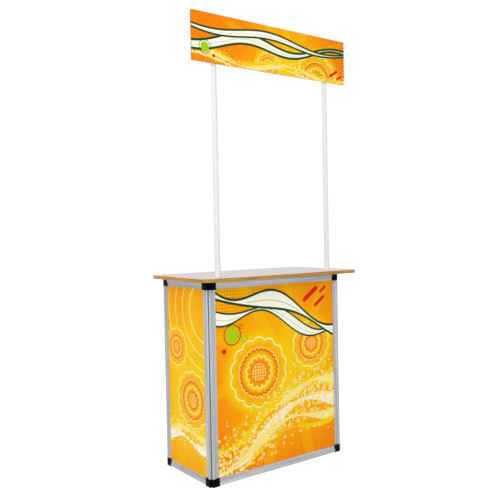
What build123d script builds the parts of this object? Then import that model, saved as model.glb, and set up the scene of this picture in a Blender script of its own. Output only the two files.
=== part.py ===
from build123d import *
import math
import os

os.makedirs("parts", exist_ok=True)

# A folding exhibition counter: a front frame with two hinged side frames, a lift-off
# worktop, two poles that stand in sockets on the worktop, and a header board on the poles.
# Millimetres. X runs along the front, Y from front to back, Z up from the floor.
# The origin is on the floor under the middle of the worktop.

# Overall sizes
frame_width = 810.0
frame_height = 925.0
folded_gap = 4.0
side_overhang = 62.0
front_overhang = 82.0
rear_overhang = 22.0
worktop_thickness = 16.0
worktop_corner_radius = 52.0
display_gap = 953.0
header_inset = 5.0
header_height = 220.0
header_thickness = 5.0
header_corner_radius = 6.0

# The aluminium extrusion of the frames: a hollow bead with two lips that hold the print panel
profile_face = 34.0
profile_depth = 20.0
profile_wall = 1.5
bead_width = 21.0
bead_crown = 2.2
nose_radius = 6.6
lip_setback = 4.0
lip_thickness = 1.4
panel_thickness = 3.0
panel_play = 0.2
panel_bite = 8.0
panel_edge_gap = 0.5

# Moulded corner pieces, a little proud of the extrusions
corner_proud = 0.6
corner_reach = 3.0
corner_edge_chamfer = 1.2
plug_length = 38.0
plug_clearance = 0.12
mitre_gap = 0.6

# Knuckle hinges between the front frame and the side frames
knuckle_count = 3
knuckle_radius = 6.0
knuckle_gap = 0.3
knuckle_margin = 3.0
hinge_clear = 1.0
pin_radius = 2.5
pin_grip_clearance = 0.02
pin_run_clearance = 0.08
pin_head_radius = 4.0
pin_head_height = 1.6
pin_floor = 2.0

# Screws that hold the rails on the corner plugs; the stiles are pressed onto theirs
screw_radius = 1.75
screw_head_radius = 3.4
screw_head_height = 2.0
screw_length = 9.0
drive_sides = 6
drive_radius = 1.4
drive_depth = 1.0

# Edge band, fastening pads and locating pegs of the worktop
band_thickness = 1.5
band_edge_chamfer = 0.7
pad_thickness = 1.0
pad_length = 22.0
pad_width = 10.0
peg_radius = 4.0
peg_clearance = 0.2
peg_drop = 12.0
peg_hold = 10.0
peg_collar_radius = 5.5
peg_inset = 14.5
peg_tip_chamfer = 1.5
bore_spare_depth = 2.0

# Poles, their sockets on the worktop and their sleeves on the header board
pole_diameter = 24.0
pole_wall = 1.5
pole_setback = 17.0
pole_to_peg = 45.0
pole_clearance = 0.1
socket_wall = 1.8
socket_height = 55.0
socket_floor = 3.0
socket_rim_chamfer = 0.8
flange_rim = 12.5
flange_thickness = 3.0
sleeve_floor = 3.0
sleeve_top_gap = 28.0
sleeve_bottom_gap = 40.0
sleeve_plate_width = 46.0
sleeve_plate_thickness = 3.0
sleeve_plate_radius = 4.0
sleeve_web_share = 0.8

# Countersunk screws that hold the socket flanges to the worktop
flange_screw_count = 3
first_flange_screw_turn = 90.0
flange_screw_radius = 2.0
flange_screw_head_radius = 3.6
flange_screw_length = 13.0
fit_clearance = 0.05

# Sizes that follow from the ones above
right = Vector(1, 0, 0)
back = Vector(0, 1, 0)
up = Vector(0, 0, 1)
root_two = math.sqrt(2)
frame_depth = (frame_width - folded_gap) / 2
worktop_width = frame_width + 2 * side_overhang
worktop_depth = front_overhang + frame_depth + rear_overhang
front_y = front_overhang - worktop_depth / 2
setback = (nose_radius + mitre_gap / 2) * root_two
front_frame_width = frame_width - 2 * setback
side_frame_width = frame_depth - setback
side_frame_middle = front_y + (setback + frame_depth) / 2
bead_edge = corner_proud + bead_width
face_edge = corner_proud + profile_face
corner_size = face_edge + corner_reach
lip_front = corner_proud + lip_setback
slot_front = lip_front + lip_thickness
slot_back = slot_front + panel_thickness + 2 * panel_play
panel_edge = face_edge - panel_bite
hinge_offset = knuckle_radius + hinge_clear
pivot_along = profile_depth + hinge_offset - setback
pivot_depth = profile_depth + hinge_offset
knuckle_gaps = (knuckle_count - 1) * knuckle_gap
knuckle_height = (corner_size - 2 * knuckle_margin - knuckle_gaps) / knuckle_count
screw_line = (bead_edge + profile_depth - root_two * nose_radius) / 2
screw_reach = corner_size + plug_length / 2
pad_inset = corner_size - pad_length / 2 - 2 * corner_edge_chamfer
worktop_bottom = frame_height + 2 * pad_thickness
worktop_top = worktop_bottom + worktop_thickness
peg_x = front_frame_width / 2 - peg_inset
pole_radius = pole_diameter / 2
pole_bore_radius = pole_radius + pole_clearance
socket_radius = pole_bore_radius + socket_wall
flange_radius = socket_radius + flange_rim
flange_screw_circle = socket_radius + flange_rim / 2
pole_x = peg_x - pole_to_peg
pole_y = front_y + pole_setback
pole_bottom = worktop_bottom + socket_floor
header_bottom = worktop_top + display_gap
header_width = worktop_width - 2 * header_inset
header_back = pole_y - socket_radius
sleeve_bottom = header_bottom + sleeve_bottom_gap
sleeve_top = header_bottom + header_height - sleeve_top_gap
pole_top = sleeve_top - sleeve_floor


def block(low, high):
    """A box between two opposite corners."""
    size = [end - start for start, end in zip(low, high)]
    return Pos(*low) * Box(*size, align=(Align.MIN, Align.MIN, Align.MIN))


def rectangle(low, high):
    """A flat rectangle between two opposite corners."""
    size = [end - start for start, end in zip(low, high)]
    return Pos(*low) * Rectangle(*size, align=(Align.MIN, Align.MIN))


def rod(radius, start, direction, length):
    """A round bar from start along a direction."""
    return extrude(Plane(origin=start, z_dir=direction) * Circle(radius), amount=length)


# Frame section: x is the distance inward from the outer edge, y the depth behind the front

def bead_corners(inset):
    """Start, middle and end of the rounded nose and the end of the mitred flank, inset from the outside."""
    radius = nose_radius - inset
    halfway = math.pi / 8
    nose_start = (nose_radius, inset)
    nose_middle = (nose_radius - radius * math.cos(halfway), nose_radius - radius * math.sin(halfway))
    nose_end = (nose_radius - radius / root_two, nose_radius + radius / root_two)
    flank_end = (profile_depth - root_two * radius, profile_depth)
    return nose_start, nose_middle, nose_end, flank_end


def bead_face():
    """The bead of the extrusion with its crowned front, before its chamber is taken out."""
    nose_start, nose_middle, nose_end, flank_end = bead_corners(corner_proud)
    crown_end = (bead_edge, corner_proud + bead_crown)
    back_end = (bead_edge, profile_depth)
    return make_face([
        ThreePointArc(nose_start, nose_middle, nose_end),
        Line(nose_end, flank_end),
        Line(flank_end, back_end),
        Line(back_end, crown_end),
        TangentArc(nose_start, crown_end, tangent=(1, 0)),
    ])


def extrusion_section():
    """The hollow bead with a front lip and a rear lip, and the panel groove between them."""
    chamber = offset(bead_face(), amount=-profile_wall)
    front_lip = rectangle((bead_edge, lip_front), (face_edge, slot_front))
    rear_lip = rectangle((bead_edge, slot_back), (face_edge, slot_back + lip_thickness))
    return bead_face() - chamber + front_lip + rear_lip


def plug_section():
    """The straight-sided section of a corner piece's plug, a sliding fit in the chamber of the bead."""
    inset = profile_wall + plug_clearance
    nose_start, _, nose_end, _ = bead_corners(corner_proud + inset)
    front = corner_proud + bead_crown + inset
    rear = profile_depth - inset
    inner = bead_edge - inset
    flank_end = (nose_end[0] + rear - nose_end[1], rear)
    return make_face(Polyline((nose_start[0], front), nose_end, flank_end, (inner, rear), (inner, front),
                              close=True))


def run_along(section, start, inward, length):
    """Extrude a frame section from start, its face width pointing inward and its depth to the back."""
    plane = Plane(origin=start, x_dir=inward, z_dir=inward.cross(back))
    return extrude(plane * section, amount=length)


# Screws of the frames

def rail_screw_places(width):
    """Where the four screws enter the back of a frame of this width, one through each end of each rail."""
    x = width / 2 - screw_reach
    heights = (screw_line, frame_height - screw_line)
    return [Vector(side * x, profile_depth, z) for side in (-1, 1) for z in heights]


def screw_holes(places):
    """The holes that the frame screws pass through."""
    depth = screw_length + bore_spare_depth
    return [rod(screw_radius + fit_clearance, place, -back, depth) for place in places]


def frame_screws(width):
    """The pan-headed screws of one frame."""
    screw = rod(screw_head_radius, Vector(0, 0, 0), up, screw_head_height)
    drive = extrude(RegularPolygon(drive_radius, drive_sides), amount=drive_depth)
    screw -= Pos(0, 0, screw_head_height - drive_depth) * drive
    screw += rod(screw_radius, Vector(0, 0, 0), -up, screw_length)
    return [Plane(origin=place, z_dir=back) * screw for place in rail_screw_places(width)]


# Pieces of a frame, which stands with its front at y = 0 and its middle at x = 0

def frame_members(width):
    """The two stiles and two rails of a frame of this width."""
    section = extrusion_section()
    holes = screw_holes(rail_screw_places(width))
    stile_length = frame_height - 2 * corner_size
    rail_length = width - 2 * corner_size
    stile_top = corner_size + stile_length
    return [
        run_along(section, Vector(-width / 2, 0, corner_size), right, stile_length),
        run_along(section, Vector(width / 2, 0, stile_top), -right, stile_length),
        run_along(section, Vector(rail_length / 2, 0, 0), up, rail_length) - holes,
        run_along(section, Vector(-rail_length / 2, 0, frame_height), -up, rail_length) - holes,
    ]


def print_panel(width):
    """The printed panel, held in the grooves on all four sides."""
    edge_x = width / 2 - panel_edge
    front = slot_front + panel_play
    return block((-edge_x, front, panel_edge), (edge_x, front + panel_thickness, frame_height - panel_edge))


def corner_body():
    """The moulded block of a corner piece: outer corner at the origin, frame towards +X and +Z."""
    nose_start, nose_middle, nose_end, flank_end = bead_corners(0)
    body = extrude(make_face([
        ThreePointArc(nose_start, nose_middle, nose_end),
        Line(nose_end, flank_end),
        Line(flank_end, (corner_size, profile_depth)),
        Line((corner_size, profile_depth), (corner_size, 0)),
        Line((corner_size, 0), nose_start),
    ]), amount=corner_size)
    front_ends = [edge for edge in body.edges().filter_by(Plane.XY)
                  if edge.center().Y < profile_depth - corner_edge_chamfer
                  and edge.center().X < corner_size - corner_edge_chamfer]
    inner_upright = max(body.edges().filter_by(Axis.Z), key=lambda edge: edge.center().X - edge.center().Y)
    return chamfer(front_ends + [inner_upright], corner_edge_chamfer)


def knuckle(level):
    """One hinge knuckle on its arm behind a corner piece, counted from the piece's outer end."""
    arm = rectangle((pivot_along - knuckle_radius, profile_depth - corner_edge_chamfer),
                    (pivot_along + knuckle_radius, pivot_depth))
    outline = Pos(pivot_along, pivot_depth) * Circle(knuckle_radius) + arm
    bottom = knuckle_margin + level * (knuckle_height + knuckle_gap)
    return Pos(0, 0, bottom) * extrude(outline, amount=knuckle_height)


def pin_bore(gripping):
    """The hole for the hinge pin: blind and tight in the front frame, running in a side frame."""
    radius = pin_radius + (pin_grip_clearance if gripping else pin_run_clearance)
    bottom = knuckle_margin + (pin_floor if gripping else 0)
    return rod(radius, Vector(pivot_along, pivot_depth, bottom), up, corner_size)


def corner_piece(levels=(), peg_hole=False):
    """A corner piece with plugs, panel slot and screw holes and, where asked, knuckles or a peg hole."""
    plug = plug_section()
    plug_reach = corner_size / 2 + plug_length
    slot_start = panel_edge - panel_edge_gap
    slot_end = 2 * corner_size
    piece = corner_body()
    piece += run_along(plug, Vector(0, 0, corner_size / 2), right, plug_reach)
    piece += run_along(plug, Vector(corner_size + plug_length, 0, 0), up, plug_reach)
    piece -= block((slot_start, slot_front, slot_start), (slot_end, slot_back, slot_end))
    piece -= screw_holes([Vector(screw_reach, profile_depth, screw_line)])
    if levels:
        piece += [knuckle(level) for level in levels]
        piece -= pin_bore(gripping=0 in levels)
    if peg_hole:
        middle = Vector(peg_inset, profile_depth / 2, 0)
        piece -= rod(peg_radius + peg_clearance, middle, up, peg_drop + bore_spare_depth)
    return piece


def place_corner(piece, width, at_right, at_top):
    """Mirror a corner piece as needed and set it in its corner of a frame."""
    if at_right:
        piece = mirror(piece, about=Plane.YZ)
    if at_top:
        piece = mirror(piece, about=Plane.XY)
    return Pos(width / 2 if at_right else -width / 2, 0, frame_height if at_top else 0) * piece


def frame(prefix, width, ends, end_levels, peg_holes=False):
    """All pieces of one frame by name; ends names its left and right end, end_levels their knuckles."""
    members = frame_members(width)
    pieces = {
        f"{prefix}_{ends[0]}_stile": members[0],
        f"{prefix}_{ends[1]}_stile": members[1],
        f"{prefix}_bottom_rail": members[2],
        f"{prefix}_top_rail": members[3],
        f"{prefix}_print_panel": print_panel(width),
        f"{prefix}_screws": Compound(frame_screws(width)),
    }
    for at_right, (end, levels) in enumerate(zip(ends, end_levels)):
        for at_top, height_name in enumerate(("bottom", "top")):
            piece = corner_piece(levels, peg_holes and at_top)
            pieces[f"{prefix}_{height_name}_{end}_corner"] = place_corner(piece, width, at_right, at_top)
    return pieces


def hinge_pins(side):
    """The bottom and top hinge pins on one side of the front frame."""
    bottom = knuckle_margin + pin_floor
    top = corner_size - knuckle_margin
    pin = rod(pin_radius, Vector(0, 0, bottom), up, top - bottom)
    pin += rod(pin_head_radius, Vector(0, 0, top), up, pin_head_height)
    x = side * (front_frame_width / 2 - pivot_along)
    top_pin = Pos(0, 0, frame_height) * mirror(pin, about=Plane.XY)
    return Compound([Pos(x, pivot_depth, 0) * each for each in (pin, top_pin)])


def side_pads(bottom):
    """Fastening pads over the two top corner pieces of a side frame."""
    x = side_frame_width / 2 - pad_inset
    pad = Box(pad_length, pad_width, pad_thickness, align=(Align.CENTER, Align.CENTER, Align.MIN))
    return [Pos(side * x, profile_depth / 2, bottom) * pad for side in (-1, 1)]


# Worktop

def slab(width, depth, radius, bottom, height):
    """A flat board with rounded corners."""
    return extrude(Pos(0, 0, bottom) * RectangleRounded(width, depth, radius), amount=height)


def flange_screw(spare):
    """A countersunk screw pointing up, head at z = 0, grown by spare where it is used to cut a hole."""
    cone_height = flange_screw_head_radius - flange_screw_radius
    head = Cone(flange_screw_head_radius + spare, flange_screw_radius + spare, cone_height,
                align=(Align.CENTER, Align.CENTER, Align.MIN))
    return head + rod(flange_screw_radius + spare, Vector(0, 0, 0), up, flange_screw_length + spare)


def flange_screws(side, spare=0):
    """The screws of one socket flange."""
    middle = Pos(side * pole_x, pole_y, worktop_bottom)
    return [middle * place * flange_screw(spare)
            for place in PolarLocations(flange_screw_circle, flange_screw_count, first_flange_screw_turn)]


def worktop_board():
    """The board with its holes for sockets, flanges, screws and pegs."""
    board = slab(worktop_width - 2 * band_thickness, worktop_depth - 2 * band_thickness,
                 worktop_corner_radius - band_thickness, worktop_bottom, worktop_thickness)
    for side in (-1, 1):
        foot = Vector(side * pole_x, pole_y, worktop_bottom)
        board -= rod(socket_radius + fit_clearance, foot, up, worktop_thickness)
        board -= rod(flange_radius + fit_clearance, foot, up, flange_thickness)
        board -= flange_screws(side, fit_clearance)
        peg_foot = Vector(side * peg_x, front_y + profile_depth / 2, worktop_bottom)
        board -= rod(peg_radius + fit_clearance, peg_foot, up, peg_hold)
    return board


def worktop_edge_band():
    """The band glued round the edge of the board."""
    band = slab(worktop_width, worktop_depth, worktop_corner_radius, worktop_bottom, worktop_thickness)
    band = chamfer(band.edges().filter_by(Plane.XY), band_edge_chamfer)
    return band - slab(worktop_width - 2 * band_thickness, worktop_depth - 2 * band_thickness,
                       worktop_corner_radius - band_thickness, worktop_bottom, worktop_thickness)


def locating_peg(side):
    """A peg under the worktop that drops into a top corner piece of the front frame."""
    foot = Vector(side * peg_x, front_y + profile_depth / 2, frame_height - peg_drop)
    shank = rod(peg_radius, foot, up, peg_drop + 2 * pad_thickness + peg_hold)
    shank = chamfer(shank.edges().sort_by(Axis.Z)[0], peg_tip_chamfer)
    return shank + rod(peg_collar_radius, foot + up * peg_drop, up, 2 * pad_thickness)


def pole_socket(side):
    """A closed socket that passes up through the worktop, on a flange let into its underside."""
    foot = Vector(side * pole_x, pole_y, worktop_bottom)
    tube = rod(socket_radius, foot, up, worktop_thickness + socket_height)
    tube = chamfer(tube.edges().sort_by(Axis.Z)[-1], socket_rim_chamfer)
    tube += rod(flange_radius, foot, up, flange_thickness)
    tube -= rod(pole_bore_radius, foot + up * socket_floor, up, worktop_thickness + socket_height)
    return tube - flange_screws(side, fit_clearance)


# Poles and header

def pole(side):
    """A tubular pole from the floor of its socket to the closed top of its sleeve."""
    foot = Vector(side * pole_x, pole_y, pole_bottom)
    length = pole_top - pole_bottom
    return rod(pole_radius, foot, up, length) - rod(pole_radius - pole_wall, foot, up, length)


def header_board():
    """The flat board that carries the header print."""
    middle = Plane(origin=(0, header_back, header_bottom + header_height / 2), x_dir=right, z_dir=-back)
    outline = RectangleRounded(header_width, header_height, header_corner_radius)
    return extrude(middle * outline, amount=header_thickness)


def header_sleeve(side):
    """A sleeve behind the header, closed at its top, that slips over a pole."""
    foot = Vector(side * pole_x, pole_y, sleeve_bottom)
    length = sleeve_top - sleeve_bottom
    web_width = sleeve_web_share * socket_radius
    plate = Plane(origin=(foot.X, header_back, sleeve_bottom + length / 2), x_dir=-right, z_dir=back)
    sleeve = rod(socket_radius, foot, up, length)
    sleeve += extrude(plate * RectangleRounded(sleeve_plate_width, length, sleeve_plate_radius),
                      amount=sleeve_plate_thickness)
    sleeve += block((foot.X - web_width, header_back, sleeve_bottom),
                    (foot.X + web_width, pole_y, sleeve_top))
    return sleeve - rod(pole_bore_radius, foot, up, length - sleeve_floor)


def all_parts():
    """Every node of the counter, by name, in its place."""
    front_place = Pos(0, front_y, 0)
    left_place = Pos(-frame_width / 2, side_frame_middle, 0) * Rot(0, 0, -90)
    right_place = Pos(frame_width / 2, side_frame_middle, 0) * Rot(0, 0, 90)
    outer = range(0, knuckle_count, 2)
    between = range(1, knuckle_count, 2)
    front = frame("front", front_frame_width, ("left", "right"), (outer, outer), peg_holes=True)
    left = frame("left_side", side_frame_width, ("rear", "front"), ((), between))
    right_side = frame("right_side", side_frame_width, ("front", "rear"), (between, ()))
    front["left_hinge_pins"] = hinge_pins(-1)
    front["right_hinge_pins"] = hinge_pins(1)
    left["left_side_loop_pads"] = Compound(side_pads(frame_height))
    right_side["right_side_loop_pads"] = Compound(side_pads(frame_height))
    hook_pair = side_pads(frame_height + pad_thickness)
    hooks = [place * hook for place in (left_place, right_place) for hook in hook_pair]
    parts = {}
    for place, pieces in ((front_place, front), (left_place, left), (right_place, right_side)):
        parts.update({name: place * piece for name, piece in pieces.items()})
    parts.update({
        "worktop_board": worktop_board(),
        "worktop_edge_band": worktop_edge_band(),
        "worktop_hook_pads": Compound(hooks),
        "worktop_locating_pegs": Compound([locating_peg(side) for side in (-1, 1)]),
        "socket_screws": Compound(flange_screws(-1) + flange_screws(1)),
        "left_pole_socket": pole_socket(-1),
        "right_pole_socket": pole_socket(1),
        "left_pole": pole(-1),
        "right_pole": pole(1),
        "header_board": header_board(),
        "left_header_sleeve": header_sleeve(-1),
        "right_header_sleeve": header_sleeve(1),
    })
    return parts


for node_name, node in all_parts().items():
    export_step(node, f"parts/{node_name}.step")
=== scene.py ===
import math
from typing import NamedTuple

import bpy
from mathutils import Matrix, Vector


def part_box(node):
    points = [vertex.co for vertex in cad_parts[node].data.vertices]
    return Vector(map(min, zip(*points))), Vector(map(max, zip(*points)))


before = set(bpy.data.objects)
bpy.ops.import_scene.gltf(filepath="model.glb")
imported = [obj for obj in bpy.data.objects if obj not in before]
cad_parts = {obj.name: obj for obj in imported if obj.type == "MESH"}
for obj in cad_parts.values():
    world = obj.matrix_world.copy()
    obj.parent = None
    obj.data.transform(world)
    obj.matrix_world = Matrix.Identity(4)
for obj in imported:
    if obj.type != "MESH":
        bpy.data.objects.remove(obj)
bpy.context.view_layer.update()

bl_info = {
    "name": "Exhibition Counter",
    "version": (1, 0, 0),
    "blender": (4, 5, 0),
    "location": "View3D > Sidebar > Counter",
    "description": "Finishes, prints and studio for a folding exhibition counter with a header board",
    "category": "Object",
}

# The scene is in metres. Surface patterns and everything inside a print are written in millimetres.
MILLIMETRE = 0.001

ALONG_X, ALONG_Y, ALONG_Z = Vector((1, 0, 0)), Vector((0, 1, 0)), Vector((0, 0, 1))

# CAD nodes that share a finish
FRAME_ENDS = {"front": ("left", "right"), "left_side": ("front", "rear"), "right_side": ("front", "rear")}
STILES = [f"{name}_{end}_stile" for name, ends in FRAME_ENDS.items() for end in ends]
FRONT_RAILS = ["front_bottom_rail", "front_top_rail"]
SIDE_RAILS = [f"{side}_{height}_rail" for side in ("left_side", "right_side") for height in ("bottom", "top")]
CORNERS = [f"{name}_{height}_{end}_corner"
           for name, ends in FRAME_ENDS.items() for height in ("bottom", "top") for end in ends]
FASTENERS = ["front_screws", "left_side_screws", "right_side_screws", "left_hinge_pins", "right_hinge_pins",
             "socket_screws"]
PADS = ["left_side_loop_pads", "right_side_loop_pads", "worktop_hook_pads"]
POLES = ["left_pole", "right_pole"]
WHITE_MOULDINGS = ["left_pole_socket", "right_pole_socket", "left_header_sleeve", "right_header_sleeve"]

# Vertices closer than this are one, and edges sharper than this are eased
WELD_DISTANCE = 1e-6
SHARP_ANGLE = math.radians(35)

# Places of the inputs and the output of a Mix node that mixes colours
MIX_SHARE, MIX_UNDER, MIX_OVER, MIXED = 0, 6, 7, 2

# Most values of a noise lie between these
NOISE_LOW, NOISE_HIGH = 0.3, 0.7

# A surface faces a direction when it lies within 60 degrees of it, which has this cosine
FACING_COSINE = 0.5

# Softness of the edge of an ink, in millimetres, and that of the flowing bands
CRISP_EDGE = 1.4
FLOW_EDGE = 2.4

# Soft lamps: name, place, length of a side and the name of the level in the studio's settings
LAMPS = (
    ("key_lamp", (-3.6, -2.2, 2.6), 2.4, "key"),
    ("fill_lamp", (0.6, -4.2, 2.2), 2.4, "fill"),
    ("back_lamp", (-1.0, 3.8, 3.4), 2.4, "back"),
    ("top_lamp", (0, 0.4, 4.6), 3.0, "top"),
)
LAMP_AIM = Vector((0, 0, 1))

# Where it is seen, the floor returns this share of the light and glows by this much, which brings it to white but
# keeps the shadow. For the light that falls on the counter it is a plain paper that returns the last share.
PAPER_SHARE, PAPER_GLOW, PAPER_BOUNCE = 0.62, 0.68, 0.8


# Colours and properties

def linear(hex_text):
    """Turn an sRGB hex value into the linear colour that Blender works in."""
    shares = [int(hex_text[start:start + 2], 16) / 255 for start in (1, 3, 5)]
    return (*[share / 12.92 if share <= 0.04045 else ((share + 0.055) / 1.055) ** 2.4 for share in shares], 1.0)


def shade(colour_value, share_of_light):
    """A colour made darker or lighter."""
    return (*[min(1.0, part * share_of_light) for part in colour_value[:3]], 1.0)


def colour(name, description, hex_text):
    """A colour property whose default is an sRGB hex value."""
    return bpy.props.FloatVectorProperty(name=name, description=description, subtype="COLOR", size=4,
                                         min=0, max=1, default=linear(hex_text))


def length(name, description, millimetres):
    """A length property whose default is given in millimetres."""
    return bpy.props.FloatProperty(name=name, description=description, unit="LENGTH", min=0, precision=5,
                                   default=millimetres * MILLIMETRE)


def level(name, description, default):
    """A brightness property, where 1 shows colours as they are written."""
    return bpy.props.FloatProperty(name=name, description=description, min=0, max=2, default=default)


# Nodes and materials

def empty_tree(owner):
    """The node tree of a material or a world, without its first nodes."""
    owner.use_nodes = True
    owner.node_tree.nodes.clear()
    return owner.node_tree


def add(tree, kind, links=None, output=0, **settings):
    """Add a shader node, set it up and link it; links maps its inputs to values or to other outputs."""
    node = tree.nodes.new("ShaderNode" + kind)
    for name, value in settings.items():
        setattr(node, name, value)
    for name, value in (links or {}).items():
        if isinstance(value, bpy.types.NodeSocket):
            tree.links.new(value, node.inputs[name])
        else:
            node.inputs[name].default_value = value
    return node.outputs[output] if node.outputs else None


def new_material(name, **surface):
    """A material with one Principled shader; surface maps its inputs, with _ for a space, to values."""
    material = bpy.data.materials.new(name)
    tree = empty_tree(material)
    surface_light = add(tree, "BsdfPrincipled", {key.replace("_", " "): value for key, value in surface.items()})
    add(tree, "OutputMaterial", {"Surface": surface_light})
    return material, tree, surface_light.node


def layered(tree, base, *coats):
    """A base colour under coats of (cover, colour), each of which hides what is under it where its cover is 1."""
    for cover, coat in coats:
        base = add(tree, "Mix", {MIX_SHARE: cover, MIX_UNDER: base, MIX_OVER: coat}, MIXED, data_type="RGBA")
    return base


def facing(tree, direction):
    """1 where the surface faces a direction, and 0 elsewhere."""
    normal = add(tree, "TexCoord", output="Normal")
    towards = add(tree, "VectorMath", {0: normal, 1: direction}, "Value", operation="DOT_PRODUCT")
    return add(tree, "Math", {0: towards, 1: FACING_COSINE}, operation="GREATER_THAN")


def grain(tree, spacing, detail=2.0):
    """Even noise with grains this far apart in metres."""
    place = add(tree, "TexCoord", output="Object")
    return add(tree, "TexNoise", {"Vector": place, "Scale": 1 / spacing, "Detail": detail})


def streaks(tree, along, spacing, stretch, detail=2.0):
    """Noise with streaks this far apart in metres, drawn out to this many times that length."""
    scale = Vector((1, 1, 1)) - along * (1 - 1 / stretch)
    place = add(tree, "TexCoord", output="Object")
    drawn = add(tree, "VectorMath", {0: place, 1: scale / spacing}, operation="MULTIPLY")
    return add(tree, "TexNoise", {"Vector": drawn, "Scale": 1.0, "Detail": detail})


def spread(tree, noise, low, high):
    """Stretch the middle of a noise to the range from low to high."""
    return add(tree, "MapRange", {"Value": noise, "From Min": NOISE_LOW, "From Max": NOISE_HIGH,
                                  "To Min": low, "To Max": high})


def tint(tree, shader, noise, low, high):
    """Let a noise vary the base colour between two colours."""
    tree.links.new(layered(tree, low, (spread(tree, noise, 0, 1), high)), shader.inputs["Base Color"])


def roughen(tree, shader, noise, low, high):
    """Let a noise vary the roughness between two values."""
    tree.links.new(spread(tree, noise, low, high), shader.inputs["Roughness"])


def emboss(tree, shader, noise, height):
    """Let a noise raise the surface by this height in metres."""
    bump = add(tree, "Bump", {"Height": noise, "Distance": height, "Strength": 1.0})
    tree.links.new(bump, shader.inputs["Normal"])


def paint(names, material):
    """Give a finish to CAD nodes by name."""
    for name in names:
        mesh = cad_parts[name].data
        mesh.materials.clear()
        mesh.materials.append(material)


def ease_edges(names, width):
    """Round the sharp edges of CAD nodes a little, so that they catch the light."""
    for name in names:
        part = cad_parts[name]
        weld = part.modifiers.new("weld", "WELD")
        weld.merge_threshold = WELD_DISTANCE
        bevel = part.modifiers.new("eased edges", "BEVEL")
        bevel.width = width
        bevel.segments = 2
        bevel.limit_method = "ANGLE"
        bevel.angle_limit = SHARP_ANGLE
        bevel.harden_normals = True


# Shapes of a print

class Field:
    """A number that varies over a surface, so that a pattern can be written as plain arithmetic."""

    def __init__(self, tree, socket):
        self.tree = tree
        self.socket = socket

    def calculate(self, operation, *others):
        links = {0: self.socket}
        for place, other in enumerate(others, start=1):
            links[place] = other.socket if isinstance(other, Field) else other
        return Field(self.tree, add(self.tree, "Math", links, operation=operation))

    def __add__(self, other):
        return self.calculate("ADD", other)

    def __sub__(self, other):
        return self.calculate("SUBTRACT", other)

    def __mul__(self, other):
        return self.calculate("MULTIPLY", other)

    def __abs__(self):
        return self.calculate("ABSOLUTE")

    def sine(self):
        return self.calculate("SINE")

    def most(self, other):
        return self.calculate("MAXIMUM", other)


class Wave(NamedTuple):
    """A wavy line across a print, in millimetres; start is the share of a wave at which it begins."""
    height: float
    slope: float
    swing: float
    wavelength: float
    start: float


class Ring(NamedTuple):
    """A layer of a medallion, in shares of its radius; with a width it is a line, and without one it is filled."""
    outline: str
    ink: str
    reach: float
    width: float = 0
    edge: float = 0
    strength: float = 1.0


class Artwork:
    """A flat print built up in layers of ink.

    Its shapes are fields that are below zero inside. They are in millimetres from the middle of the face, with x
    to the right as it is looked at and y up.
    """

    def __init__(self, tree, middle, across, ground):
        place = add(tree, "TexCoord", output="Object")
        offset = add(tree, "VectorMath", {0: place, 1: middle}, operation="SUBTRACT")
        axes = [add(tree, "VectorMath", {0: offset, 1: axis / MILLIMETRE}, "Value", operation="DOT_PRODUCT")
                for axis in (across, ALONG_Z)]
        self.tree = tree
        self.x, self.y = [Field(tree, axis) for axis in axes]
        self.point = add(tree, "CombineXYZ", {0: axes[0], 1: axes[1]})
        self.colour = ground

    def lay(self, ink, shape, edge=CRISP_EDGE, strength=1.0):
        """Cover the inside of a shape with an ink, with an edge this soft."""
        cover = add(self.tree, "MapRange", {"Value": shape.socket, "From Min": edge / 2, "From Max": -edge / 2,
                                            "To Max": strength}, interpolation_type="SMOOTHSTEP")
        self.colour = layered(self.tree, self.colour, (cover, ink))

    def distance(self, centre):
        """How far each point of the print is from a centre."""
        return Field(self.tree, add(self.tree, "VectorMath", {0: self.point, 1: (*centre, 0)}, "Value",
                                    operation="DISTANCE"))

    def disc(self, centre, radius):
        """A round spot."""
        return self.distance(centre) - radius

    def ring(self, centre, radius, width):
        """A round line."""
        return abs(self.distance(centre) - radius) - width / 2

    def ripple(self, wavelength, start):
        """A number that swings between -1 and 1 across the print."""
        return (self.x * (math.tau / wavelength) + math.tau * start).sine()

    def above(self, wave):
        """How far each point is above a wavy line."""
        return self.y - self.x * wave.slope - self.ripple(wave.wavelength, wave.start) * wave.swing - wave.height

    def band(self, line, width, thinning, wavelength, start):
        """A band along a line whose width swells and thins in waves."""
        return abs(line) - self.ripple(wavelength, start) * (width * thinning / 2) - width / 2

    def dash(self, centre, reach, radius, turn):
        """A bar with round ends, turned by this many degrees."""
        away_x, away_y = self.x - centre[0], self.y - centre[1]
        cosine, sine = math.cos(math.radians(turn)), math.sin(math.radians(turn))
        along = (abs(away_x * cosine + away_y * sine) - reach).most(0)
        aside = away_y * cosine - away_x * sine
        return (along * along + aside * aside).calculate("SQRT") - radius

    def dots(self, spacing, radius, randomness=0.0):
        """Dots this far apart, from a plain grid to a free scatter; radius is a number or a field."""
        nearest = add(self.tree, "TexVoronoi", {"Vector": self.point, "Scale": 1 / spacing,
                                                "Randomness": randomness}, voronoi_dimensions="2D")
        return Field(self.tree, nearest) * spacing - radius

    def rays(self, centre, count):
        """Rays from a centre: below zero in every second one."""
        away_x, away_y = self.x - centre[0], self.y - centre[1]
        return (away_y.calculate("ARCTAN2", away_x) * count).sine()

    def blossom(self, centre, petals, depth):
        """How far each point is from a centre, waved so that rings round it get petals this deep."""
        return self.distance(centre) + abs(self.rays(centre, petals / 2)) * -depth

    def clouds(self, spacing, detail=3.0):
        """Soft noise from 0 to 1, its clouds this far apart."""
        return Field(self.tree, add(self.tree, "TexNoise", {"Vector": self.point, "Scale": 1 / spacing,
                                                            "Detail": detail}, noise_dimensions="2D"))


# Clouds this far apart push the edges of the flowing bands in and out, by at most half of this depth
RAGGED_SPACING, RAGGED_DEPTH = 26, 13.6

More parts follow.
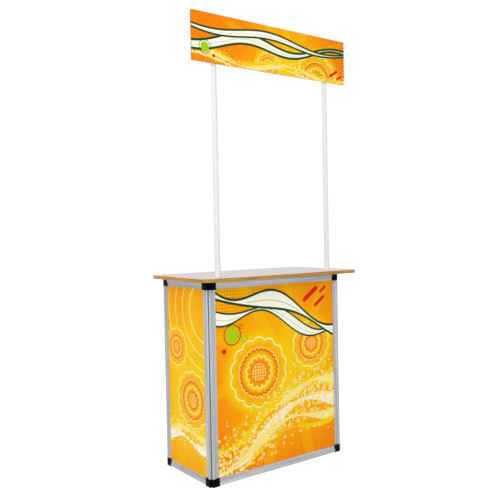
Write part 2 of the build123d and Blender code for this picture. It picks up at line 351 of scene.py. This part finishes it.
# Layers of the glow in the ground: ink, reach and softness as shares of its radius, and strength
GLOW = (
    ("orange", 1.5, 1.2, 1.0),
    ("amber", 1.1, 1.1, 1.0),
    ("yellow", 0.55, 0.9, 0.85),
)

# Layers of a medallion from the lowest up, round or on its outer or inner petals
PETALS = 14
MEDALLION = (
    Ring("round", "yellow", 1.15, edge=0.40, strength=0.8),
    Ring("outer", "yellow", 0.92),
    Ring("outer", "cream", 0.90, width=0.056),
    Ring("outer", "umber", 0.855, width=0.016, strength=0.7),
    Ring("outer", "amber", 0.80, edge=0.14),
    Ring("inner", "deep", 0.68, edge=0.05),
    Ring("inner", "cream", 0.66, width=0.028),
    Ring("inner", "umber", 0.61, width=0.02, strength=0.7),
    Ring("inner", "yellow", 0.52, edge=0.20),
    Ring("outer", "cream", 0.38, width=0.04),
    Ring("outer", "orange", 0.34, edge=0.08),
    Ring("round", "umber", 0.29, width=0.016, strength=0.7),
)


def sunlit_ground(art, colours, centre, radius):
    """Deep orange that warms to yellow round a centre, with faint beams."""
    away = art.distance(centre) + art.clouds(radius / 2) * (radius / 3)
    for ink, reach, softness, strength in GLOW:
        art.lay(getattr(colours, ink), away - radius * reach, edge=radius * softness, strength=strength)
    beams = art.rays(centre, count=11) + away * (0.5 / radius)
    art.lay(colours.yellow, beams, edge=0.35, strength=0.28)


def medallion(art, colours, centre, radius):
    """A blossom of scalloped rings in yellow, amber and cream, with a halo and a dotted heart."""
    outlines = {
        "round": art.distance(centre),
        "outer": art.blossom(centre, PETALS, depth=radius * 0.09),
        "inner": art.blossom(centre, PETALS * 2, depth=radius * 0.05),
    }
    for ring in MEDALLION:
        shape = outlines[ring.outline] - radius * ring.reach
        if ring.width:
            shape = abs(shape) - radius * ring.width / 2
        art.lay(getattr(colours, ring.ink), shape, edge=radius * ring.edge or CRISP_EDGE, strength=ring.strength)
    heart = art.dots(radius * 0.085, radius * 0.026, randomness=0.25).most(outlines["round"] - radius * 0.25)
    art.lay(colours.cream, heart)


def flow(art, colours, bands):
    """Bands of (wave, width, ink) that flow over the print, with ragged edges."""
    ragged = (art.clouds(RAGGED_SPACING, detail=5.0) - 0.5) * RAGGED_DEPTH
    for wave, width, ink in bands:
        # The width swells in shorter waves than the line, so that no two stretches of a band are alike
        band = art.band(art.above(wave) + ragged, width, thinning=0.7, wavelength=wave.wavelength * 0.63,
                        start=wave.start + 0.3)
        art.lay(getattr(colours, ink), band, edge=FLOW_EDGE)


def scatter(art, colours, from_flow, spacing, radius, thinning):
    """Scattered cream dots with yellow rims that get smaller away from the flowing bands."""
    dots = art.dots(spacing, from_flow * -thinning + radius, randomness=1.0)
    art.lay(colours.yellow, dots - spacing * 0.12, strength=0.6)
    art.lay(colours.cream, dots)


def streamer(art, colours, wave, width, outline, wavelength, start):
    """A clean white band that swells and thins, with a dark green outline and a light green stripe."""
    line = art.above(wave)
    band = art.band(line, width, thinning=0.9, wavelength=wavelength, start=start)
    stripe = abs(line + width * 0.12) - width * 0.05 + (band + width * 0.25).most(0)
    art.lay(colours.pine, band - outline)
    art.lay(colours.white, band)
    art.lay(colours.leaf, stripe)


def front_design(art, colours):
    """The print of the front panel."""
    sunlit_ground(art, colours, centre=(60, 20), radius=330)
    art.lay(colours.yellow, art.dots(15, (art.y - 150) * 0.016 - art.x * 0.008), strength=0.7)
    medallion(art, colours, centre=(-120, 20), radius=168)
    medallion(art, colours, centre=(210, 120), radius=120)
    flow(art, colours, [
        (Wave(-165, 0.30, 58, 760, 0.10), 60, "yellow"),
        (Wave(-200, 0.34, 66, 820, 0.06), 44, "cream"),
        (Wave(-232, 0.26, 54, 700, 0.16), 50, "amber"),
        (Wave(-256, 0.30, 62, 780, 0.12), 46, "white"),
        (Wave(-290, 0.22, 48, 720, 0.20), 30, "cream"),
        (Wave(-330, 0.26, 40, 640, 0.24), 18, "yellow"),
    ])
    from_flow = abs(art.above(Wave(-235, 0.30, 60, 780, 0.10)))
    scatter(art, colours, from_flow, spacing=21, radius=7.5, thinning=0.045)
    rings = abs(art.dots(47, from_flow * -0.06 + 13, randomness=0.9))
    art.lay(colours.yellow, rings - 3.2, strength=0.6)
    art.lay(colours.white, rings - 1.2, strength=0.9)
    streamer(art, colours, Wave(262, -0.20, 42, 560, 0.36), width=30, outline=9, wavelength=470, start=0.05)
    streamer(art, colours, Wave(318, -0.30, 36, 640, 0.22), width=40, outline=12, wavelength=520, start=0.30)
    for centre, reach, radius in (((208, 368), 46, 12), ((268, 328), 34, 9), ((292, 386), 20, 7)):
        art.lay(colours.red, art.dash(centre, reach, radius, turn=35))
    art.lay(colours.leaf, art.disc((-270, 212), radius=34))
    art.lay(colours.pine, art.ring((-270, 212), radius=46, width=4))
    art.lay(colours.leaf, art.ring((-204, 186), radius=16, width=8))
    art.lay(colours.red, art.disc((-318, 140), radius=12))
    art.lay(colours.red, art.ring((-222, 246), radius=9, width=4))


def side_design(art, colours):
    """The print of a side panel."""
    sunlit_ground(art, colours, centre=(50, -30), radius=520)
    art.lay(colours.orange, art.dots(15, (art.y - 190) * 0.020 - art.x * 0.010), strength=0.6)
    for radius, width in ((150, 7), (214, 6), (278, 5), (342, 4)):
        art.lay(colours.cream, art.ring((190, 330), radius, width), strength=0.85)
    medallion(art, colours, centre=(-86, 138), radius=92)
    medallion(art, colours, centre=(54, -96), radius=136)
    flow(art, colours, [
        (Wave(-250, 0.20, 40, 520, 0.40), 36, "yellow"),
        (Wave(-275, 0.24, 44, 560, 0.36), 28, "cream"),
        (Wave(-300, 0.18, 38, 500, 0.44), 28, "white"),
    ])
    from_flow = abs(art.above(Wave(-270, 0.20, 42, 540, 0.40)))
    scatter(art, colours, from_flow, spacing=19, radius=6, thinning=0.05)


def header_design(art, colours):
    """The print of the header board."""
    sunlit_ground(art, colours, centre=(80, -70), radius=220)
    art.lay(colours.umber, art.dots(17, (art.x - 60) * 0.010), strength=0.35)
    medallion(art, colours, centre=(268, -110), radius=132)
    medallion(art, colours, centre=(-36, -84), radius=70)
    flow(art, colours, [
        (Wave(-74, -0.03, 20, 520, 0.10), 18, "yellow"),
        (Wave(-86, -0.04, 22, 560, 0.06), 12, "cream"),
        (Wave(-98, -0.02, 18, 480, 0.16), 9, "cream"),
    ])
    from_flow = abs(art.above(Wave(-84, -0.03, 21, 530, 0.10)))
    scatter(art, colours, from_flow, spacing=13, radius=3.6, thinning=0.07)
    streamer(art, colours, Wave(10, 0.05, 26, 560, 0.55), width=20, outline=11, wavelength=1200, start=0.44)
    streamer(art, colours, Wave(44, -0.02, 18, 640, 0.30), width=13, outline=9, wavelength=1100, start=0.34)
    art.lay(colours.red, art.dash((385, -62), reach=26, radius=7, turn=30))
    art.lay(colours.red, art.dash((424, -78), reach=16, radius=5, turn=30))
    art.lay(colours.leaf, art.disc((-392, -42), radius=22))
    art.lay(colours.pine, art.ring((-392, -42), radius=30, width=3))
    art.lay(colours.red, art.disc((-346, -76), radius=8))


def print_board(node_name, material_name, middle, across, outward, design, edge_colour):
    """Cover the outward face of a board with a design, and give it a plain back and edges."""
    colours = bpy.context.scene.counter_print
    # Foam board with ink-jet printed film under a satin laminate: even colour with a broad soft sheen. The grain
    # of the laminate is really 0.2 mm, too fine to show, and is drawn coarser.
    material, tree, shader = new_material(material_name, Roughness=0.42, IOR=1.46, Specular_IOR_Level=0.05)
    art = Artwork(tree, middle, across, colours.deep)
    design(art, colours)
    flecks = grain(tree, colours.grain_spacing, detail=1.0)
    inked = layered(tree, art.colour, (spread(tree, flecks, 0, 0.07), colours.edge))
    board = layered(tree, edge_colour, (facing(tree, -outward), colours.core), (facing(tree, outward), inked))
    tree.links.new(board, shader.inputs["Base Color"])
    roughen(tree, shader, flecks, low=0.38, high=0.46)
    emboss(tree, shader, flecks, colours.grain_height)
    paint([node_name], material)


# Settings

class CounterPrint(bpy.types.PropertyGroup):
    """Colours and surface of the printed panels."""
    umber: colour("Umber", "Brown of the fine lines in the medallions", "#A8540A")
    deep: colour("Deep orange", "Darkest tone of the printed ground", "#F98402")
    orange: colour("Orange", "Main tone of the printed ground", "#FE9A02")
    amber: colour("Amber", "Warm yellow between the orange and the glow", "#FDB504")
    yellow: colour("Yellow", "Brightest tone of the printed ground", "#FBD20A")
    cream: colour("Cream", "Pale ink of rings, bands and dots", "#FCF08E")
    white: colour("White", "Palest ink", "#FFFDF0")
    red: colour("Red", "Small red accents", "#E1200F")
    leaf: colour("Leaf green", "Small bright green accents", "#A5D312")
    pine: colour("Pine green", "Dark green outlines", "#0E4A1E")
    core: colour("Board", "Plain back and edges of the foam board", "#EEEEEC")
    # The header's edges carry the print wrapped round in a darker tone, which is partly painted shade along the
    # edges
    edge: colour("Header edge", "Wrapped edge of the header board", "#A9640F")
    grain_spacing: length("Grain", "Distance between grains of the laminate, drawn coarse enough to show", 1.6)
    grain_height: length("Grain height", "Height of the grains of the laminate", 0.02)


class CounterFinish(bpy.types.PropertyGroup):
    """Colours and surface sizes of the frames, worktop and poles."""
    aluminium: colour("Aluminium", "Satin anodised aluminium", "#B1B3B7")
    band_spacing: length("Bands", "Distance between lighter and darker bands along an extrusion", 6)
    die_line_spacing: length("Die lines", "Distance between die lines of an extrusion, drawn coarse to show", 0.9)
    die_line_height: length("Die line height", "Height of the die lines", 0.03)
    extrusion_edge: length("Extrusion edges", "Width of the eased edges of the extrusions", 0.3)
    nylon: colour("Black nylon", "Moulded corner pieces", "#040405")
    spark_spacing: length("Mould grain", "Distance between grains of a spark-eroded mould, coarse to show", 0.8)
    spark_height: length("Mould grain height", "Height of the grain of the corner pieces", 0.03)
    corner_edge: length("Corner edges", "Width of the eased edges of the corner pieces", 0.8)
    zinc: colour("Zinc", "Plated steel of screws and pins", "#B4B6BA")
    zinc_spacing: length("Plating", "Distance between cloudy patches of the plating", 0.8)
    tape: colour("Tape", "Woven hook-and-loop tape", "#1B1B1E")
    thread_spacing: length("Threads", "Distance between threads of the tape", 0.5)
    peg: colour("Pegs", "Turned natural nylon", "#DAD8CE")
    turning_spacing: length("Turning marks", "Distance between turning marks, drawn coarse to show", 0.5)
    laminate: colour("Laminate", "Pale melamine surface of the worktop", "#C9BEBD")
    pearl_spacing: length("Pearl", "Distance between pearls of the melamine surface", 1.4)
    pearl_height: length("Pearl height", "Height of the pearls", 0.015)
    # The balancing sheet's dark tone is partly the sheet and partly painted shade for the shaded underside of the
    # worktop
    underside_sheet_and_shade: colour("Underside", "Balancing sheet under the worktop", "#6E6A66")
    beech: colour("Beech", "Light tone of the edge band", "#D79E3E")
    beech_dark: colour("Beech grain", "Dark tone of the edge band's grain", "#9C641A")
    beech_spacing: length("Grain width", "Distance between the grain lines of the edge band", 2.2)
    beech_height: length("Grain depth", "Height of the grain lines", 0.02)
    band_edge: length("Band edges", "Width of the eased edges of the edge band", 0.25)
    powder: colour("Powder coat", "White powder-coated steel of the poles", "#E2E2E4")
    peel_spacing: length("Orange peel", "Distance between ripples of the powder coat", 1.8)
    peel_height: length("Orange peel height", "Height of the ripples", 0.03)
    abs_white: colour("White ABS", "Moulded sockets and sleeves", "#E4E4E6")
    abs_height: length("ABS grain height", "Height of the grain of the white mouldings", 0.012)
    moulding_edge: length("Moulding edges", "Width of the eased edges of the white mouldings", 0.5)


class CounterStudio(bpy.types.PropertyGroup):
    """Camera, lamps and floor."""
    lens: bpy.props.FloatProperty(name="Lens", description="Focal length on a 36 mm sensor", unit="CAMERA",
                                  default=46.92)
    position: bpy.props.FloatVectorProperty(name="Position", description="Where the camera stands",
                                            subtype="TRANSLATION", unit="LENGTH", default=(-1.967, -2.603, 1.131))
    heading: bpy.props.FloatProperty(name="Heading", description="Turn from straight ahead towards the right",
                                     subtype="ANGLE", default=0.6378)
    dip: bpy.props.FloatProperty(name="Dip", description="Tilt below the horizon", subtype="ANGLE", default=0.0234)
    roll: bpy.props.FloatProperty(name="Roll", description="Lean of the camera", subtype="ANGLE", default=-0.0196)
    ambient: level("Ambient", "Light from all round", 0.58)
    key: level("Key", "Soft lamp at the left", 0.37)
    fill: level("Fill", "Soft lamp in front", 0.17)
    back: level("Back", "Soft lamp behind", 0.2)
    top: level("Top", "Soft lamp overhead", 0.20)
    floor_side: length("Floor", "Side of the square floor", 40000)
    backdrop: colour("Backdrop", "Colour of the floor and the background", "#FFFFFF")


# Operators

class FinishExtrusions(bpy.types.Operator):
    """Satin anodised aluminium on the stiles and rails"""
    bl_idname = "counter.finish_extrusions"
    bl_label = "Frame extrusions"

    def execute(self, context):
        finish = context.scene.counter_finish
        for name, nodes, along in (("upright", STILES, ALONG_Z), ("front", FRONT_RAILS, ALONG_X),
                                   ("side", SIDE_RAILS, ALONG_Y)):
            # Extruded and satin anodised aluminium: a soft grey metal whose long die lines stretch the
            # reflections. The die lines are really 0.1 mm apart, too fine to show, and are drawn coarser.
            material, tree, shader = new_material(f"satin_anodised_aluminium_{name}", Metallic=1.0)
            bands = streaks(tree, along, finish.band_spacing, stretch=60, detail=4.0)
            lines = streaks(tree, along, finish.die_line_spacing, stretch=400)
            tint(tree, shader, bands, low=shade(finish.aluminium, 0.76), high=shade(finish.aluminium, 1.2))
            roughen(tree, shader, lines, low=0.54, high=0.66)
            emboss(tree, shader, lines, finish.die_line_height)
            paint(nodes, material)
            ease_edges(nodes, finish.extrusion_edge)
        return {"FINISHED"}


class FinishCorners(bpy.types.Operator):
    """Black moulded nylon on the corner pieces"""
    bl_idname = "counter.finish_corners"
    bl_label = "Corner pieces"

    def execute(self, context):
        finish = context.scene.counter_finish
        # Injection-moulded glass-filled nylon: near black and matt, with the grain of a spark-eroded mould. That
        # grain is really 0.1 mm, too fine to show, and is drawn coarser.
        material, tree, shader = new_material("black_moulded_nylon", IOR=1.53, Specular_IOR_Level=0.03)
        sparks = grain(tree, finish.spark_spacing)
        tint(tree, shader, sparks, low=shade(finish.nylon, 0.8), high=shade(finish.nylon, 1.3))
        roughen(tree, shader, sparks, low=0.42, high=0.55)
        emboss(tree, shader, sparks, finish.spark_height)
        paint(CORNERS, material)
        ease_edges(CORNERS, finish.corner_edge)
        return {"FINISHED"}


class FinishFasteners(bpy.types.Operator):
    """Zinc-plated steel on the screws and hinge pins"""
    bl_idname = "counter.finish_fasteners"
    bl_label = "Screws and pins"

    def execute(self, context):
        finish = context.scene.counter_finish
        # Zinc-plated steel: bright bluish metal, slightly cloudy
        material, tree, shader = new_material("zinc_plated_steel", Metallic=1.0)
        clouds = grain(tree, finish.zinc_spacing)
        tint(tree, shader, clouds, low=shade(finish.zinc, 0.9), high=shade(finish.zinc, 1.08))
        roughen(tree, shader, clouds, low=0.24, high=0.36)
        paint(FASTENERS, material)
        return {"FINISHED"}


class FinishPads(bpy.types.Operator):
    """Woven hook-and-loop pads and nylon pegs"""
    bl_idname = "counter.finish_pads"
    bl_label = "Pads and pegs"

    def execute(self, context):
        finish = context.scene.counter_finish
        # Woven nylon tape with its pile of hooks and loops: black, soft and without gloss
        material, tree, shader = new_material("woven_nylon_tape", Roughness=0.9, Sheen_Weight=0.4)
        threads = grain(tree, finish.thread_spacing, detail=4.0)
        tint(tree, shader, threads, low=shade(finish.tape, 0.6), high=shade(finish.tape, 1.8))
        emboss(tree, shader, threads, finish.thread_spacing / 2)
        paint(PADS, material)
        # Turned natural nylon: milky white with faint turning marks round it. These are really 0.1 mm apart, too
        # fine to show, and are drawn coarser.
        material, tree, shader = new_material("turned_natural_nylon", IOR=1.53)
        marks = streaks(tree, ALONG_X + ALONG_Y, finish.turning_spacing, stretch=8)
        tint(tree, shader, marks, low=shade(finish.peg, 0.94), high=finish.peg)
        roughen(tree, shader, marks, low=0.35, high=0.5)
        paint(["worktop_locating_pegs"], material)
        return {"FINISHED"}


class FinishWorktop(bpy.types.Operator):
    """Pearl laminate on the worktop and a beech band round its edge"""
    bl_idname = "counter.finish_worktop"
    bl_label = "Worktop"

    def execute(self, context):
        finish = context.scene.counter_finish
        # Melamine-faced board: pale warm grey with a pressed pearl surface that breaks up its satin gloss, and a
        # brown-grey balancing sheet underneath, whose dark tone is partly painted shade for the shaded underside
        material, tree, shader = new_material("pearl_melamine_board", IOR=1.5)
        pearls = grain(tree, finish.pearl_spacing, detail=3.0)
        board = layered(tree, shade(finish.laminate, 0.965),
                        (spread(tree, pearls, 0, 1), shade(finish.laminate, 1.02)),
                        (facing(tree, -ALONG_Z), finish.underside_sheet_and_shade))
        tree.links.new(board, shader.inputs["Base Color"])
        roughen(tree, shader, pearls, low=0.30, high=0.42)
        emboss(tree, shader, pearls, finish.pearl_height)
        paint(["worktop_board"], material)
        # Lacquered beech edge band: golden wood with long fine grain and short darker flecks. The flecks are
        # really 0.3 mm wide, too fine to show, and are drawn coarser.
        material, tree, shader = new_material("lacquered_beech_band", IOR=1.5, Specular_IOR_Level=0.25)
        lines = streaks(tree, ALONG_X + ALONG_Y, finish.beech_spacing, stretch=40, detail=3.0)
        flecks = streaks(tree, ALONG_X + ALONG_Y, finish.beech_spacing / 3, stretch=9, detail=1.0)
        wood = layered(tree, finish.beech_dark, (spread(tree, lines, 0, 1), finish.beech),
                       (spread(tree, flecks, -1.2, 0.7), shade(finish.beech_dark, 0.7)))
        tree.links.new(wood, shader.inputs["Base Color"])
        roughen(tree, shader, lines, low=0.34, high=0.46)
        emboss(tree, shader, lines, finish.beech_height)
        paint(["worktop_edge_band"], material)
        ease_edges(["worktop_edge_band"], finish.band_edge)
        return {"FINISHED"}


class FinishPoles(bpy.types.Operator):
    """White powder coat on the poles and white ABS on their sockets and sleeves"""
    bl_idname = "counter.finish_poles"
    bl_label = "Poles and sockets"

    def execute(self, context):
        finish = context.scene.counter_finish
        # Powder-coated steel tube: clean white with the slow ripple of orange peel
        material, tree, shader = new_material("white_powder_coated_steel", IOR=1.5)
        peel = grain(tree, finish.peel_spacing, detail=1.0)
        tint(tree, shader, peel, low=shade(finish.powder, 0.975), high=finish.powder)
        roughen(tree, shader, peel, low=0.28, high=0.36)
        emboss(tree, shader, peel, finish.peel_height)
        paint(POLES, material)
        # Moulded ABS: white and slightly less glossy than the poles, with the grain of its mould, which is really
        # 0.1 mm, too fine to show, and is drawn coarser
        material, tree, shader = new_material("white_moulded_abs", IOR=1.53)
        skin = grain(tree, finish.spark_spacing)
        tint(tree, shader, skin, low=shade(finish.abs_white, 0.97), high=finish.abs_white)
        roughen(tree, shader, skin, low=0.32, high=0.4)
        emboss(tree, shader, skin, finish.abs_height)
        paint(WHITE_MOULDINGS, material)
        ease_edges(WHITE_MOULDINGS, finish.moulding_edge)
        return {"FINISHED"}


class PrintFront(bpy.types.Operator):
    """The print on the front panel"""
    bl_idname = "counter.print_front"
    bl_label = "Front print"

    def execute(self, context):
        low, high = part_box("front_print_panel")
        print_board("front_print_panel", "front_satin_laminated_print", (low + high) / 2, ALONG_X, -ALONG_Y,
                    front_design, context.scene.counter_print.core)
        return {"FINISHED"}


class PrintSides(bpy.types.Operator):
    """The prints on the two side panels"""
    bl_idname = "counter.print_sides"
    bl_label = "Side prints"

    def execute(self, context):
        for side, across, outward in (("left_side", -ALONG_Y, -ALONG_X), ("right_side", ALONG_Y, ALONG_X)):
            low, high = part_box(f"{side}_print_panel")
            print_board(f"{side}_print_panel", f"{side}_satin_laminated_print", (low + high) / 2, across, outward,
                        side_design, context.scene.counter_print.core)
        return {"FINISHED"}


class PrintHeader(bpy.types.Operator):
    """The print on the header board"""
    bl_idname = "counter.print_header"
    bl_label = "Header print"

    def execute(self, context):
        low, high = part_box("header_board")
        # The header's edges take the darker wrapped tone, partly painted shade along them
        print_board("header_board", "header_satin_laminated_print", (low + high) / 2, ALONG_X, -ALONG_Y,
                    header_design, context.scene.counter_print.edge)
        return {"FINISHED"}


class SetStage(bpy.types.Operator):
    """Camera, pale floor, soft lamps and plain background"""
    bl_idname = "counter.set_stage"
    bl_label = "Stage"

    def execute(self, context):
        studio = context.scene.counter_studio
        self.place_camera(context.scene, studio)
        self.light_world(context.scene, studio)
        self.lay_floor(context.scene, studio)
        for name, place, side, level_name in LAMPS:
            self.hang_lamp(context.scene, name, Vector(place), side, getattr(studio, level_name))
        context.scene.view_settings.view_transform = "Standard"
        return {"FINISHED"}

    def place_camera(self, scene, studio):
        ahead = Vector((math.sin(studio.heading) * math.cos(studio.dip),
                        math.cos(studio.heading) * math.cos(studio.dip), -math.sin(studio.dip)))
        level_right = Vector((math.cos(studio.heading), -math.sin(studio.heading), 0))
        level_up = level_right.cross(ahead)
        right = level_right * math.cos(studio.roll) + level_up * math.sin(studio.roll)
        up = right.cross(ahead)
        camera = bpy.data.objects.new("camera", bpy.data.cameras.new("camera"))
        camera.data.lens = studio.lens
        camera.matrix_world = (Matrix.Translation(studio.position)
                               @ Matrix((right, up, -ahead)).transposed().to_4x4())
        scene.collection.objects.link(camera)
        scene.camera = camera

    def light_world(self, scene, studio):
        scene.world = bpy.data.worlds.new("plain_background")
        tree = empty_tree(scene.world)
        shown = add(tree, "Background", {"Color": studio.backdrop, "Strength": 1.0})
        light = add(tree, "Background", {"Color": studio.backdrop, "Strength": studio.ambient})
        chosen = add(tree, "MixShader", {0: self.seen_directly(tree), 1: light, 2: shown})
        add(tree, "OutputWorld", {"Surface": chosen})

    def lay_floor(self, scene, studio):
        half = studio.floor_side / 2
        corners = [(-half, -half, 0), (half, -half, 0), (half, half, 0), (-half, half, 0)]
        mesh = bpy.data.meshes.new("floor")
        mesh.from_pydata(corners, [], [(0, 1, 2, 3)])
        floor = bpy.data.objects.new("floor", mesh)
        scene.collection.objects.link(floor)
        # Seamless studio paper: matt white that meets the background, with a soft shadow on it
        material = bpy.data.materials.new("white_studio_paper")
        tree = empty_tree(material)
        paper = add(tree, "BsdfDiffuse", {"Color": shade(studio.backdrop, PAPER_SHARE)})
        glow = add(tree, "Emission", {"Color": studio.backdrop, "Strength": PAPER_GLOW})
        shown = add(tree, "AddShader", {0: paper, 1: glow})
        light = add(tree, "BsdfDiffuse", {"Color": shade(studio.backdrop, PAPER_BOUNCE)})
        chosen = add(tree, "MixShader", {0: self.seen_directly(tree), 1: light, 2: shown})
        add(tree, "OutputMaterial", {"Surface": chosen})
        mesh.materials.append(material)

    def hang_lamp(self, scene, name, place, side, brightness):
        """A square lamp that brings a white surface facing it, at the aim, to this brightness."""
        light = bpy.data.lights.new(name, "AREA")
        light.size = side
        light.energy = brightness * (math.pi * (place - LAMP_AIM).length) ** 2
        lamp = bpy.data.objects.new(name, light)
        lamp.location = place
        lamp.rotation_mode = "QUATERNION"
        lamp.rotation_quaternion = (LAMP_AIM - place).to_track_quat("-Z", "Y")
        scene.collection.objects.link(lamp)

    def seen_directly(self, tree):
        """1 for rays from the camera, from gloss and through glass, and 0 for the light that falls on things."""
        paths = [add(tree, "LightPath", output=f"Is {kind} Ray") for kind in ("Camera", "Glossy", "Transmission")]
        pair = add(tree, "Math", {0: paths[0], 1: paths[1]}, operation="MAXIMUM")
        return add(tree, "Math", {0: pair, 1: paths[2]}, operation="MAXIMUM")


class CounterPanel(bpy.types.Panel):
    """Lists the pieces of the counter and their settings"""
    bl_idname = "VIEW3D_PT_counter"
    bl_label = "Exhibition counter"
    bl_space_type = "VIEW_3D"
    bl_region_type = "UI"
    bl_category = "Counter"

    def draw(self, context):
        for operator in STEPS:
            self.layout.operator(operator.bl_idname)
        for group in (context.scene.counter_finish, context.scene.counter_print, context.scene.counter_studio):
            box = self.layout.box()
            for name in group.__annotations__:
                box.prop(group, name)


STEPS = (SetStage, FinishExtrusions, FinishCorners, FinishFasteners, FinishPads, FinishWorktop, FinishPoles,
         PrintFront, PrintSides, PrintHeader)
GROUPS = (CounterPrint, CounterFinish, CounterStudio)


def register():
    for shown_class in (*GROUPS, *STEPS, CounterPanel):
        bpy.utils.register_class(shown_class)
    bpy.types.Scene.counter_print = bpy.props.PointerProperty(type=CounterPrint)
    bpy.types.Scene.counter_finish = bpy.props.PointerProperty(type=CounterFinish)
    bpy.types.Scene.counter_studio = bpy.props.PointerProperty(type=CounterStudio)


def unregister():
    del bpy.types.Scene.counter_studio
    del bpy.types.Scene.counter_finish
    del bpy.types.Scene.counter_print
    for shown_class in reversed((*GROUPS, *STEPS, CounterPanel)):
        bpy.utils.unregister_class(shown_class)


def main():
    register()
    for step in STEPS:
        group, operator = step.bl_idname.split(".")
        getattr(getattr(bpy.ops, group), operator)()


if __name__ == "__main__":
    main()
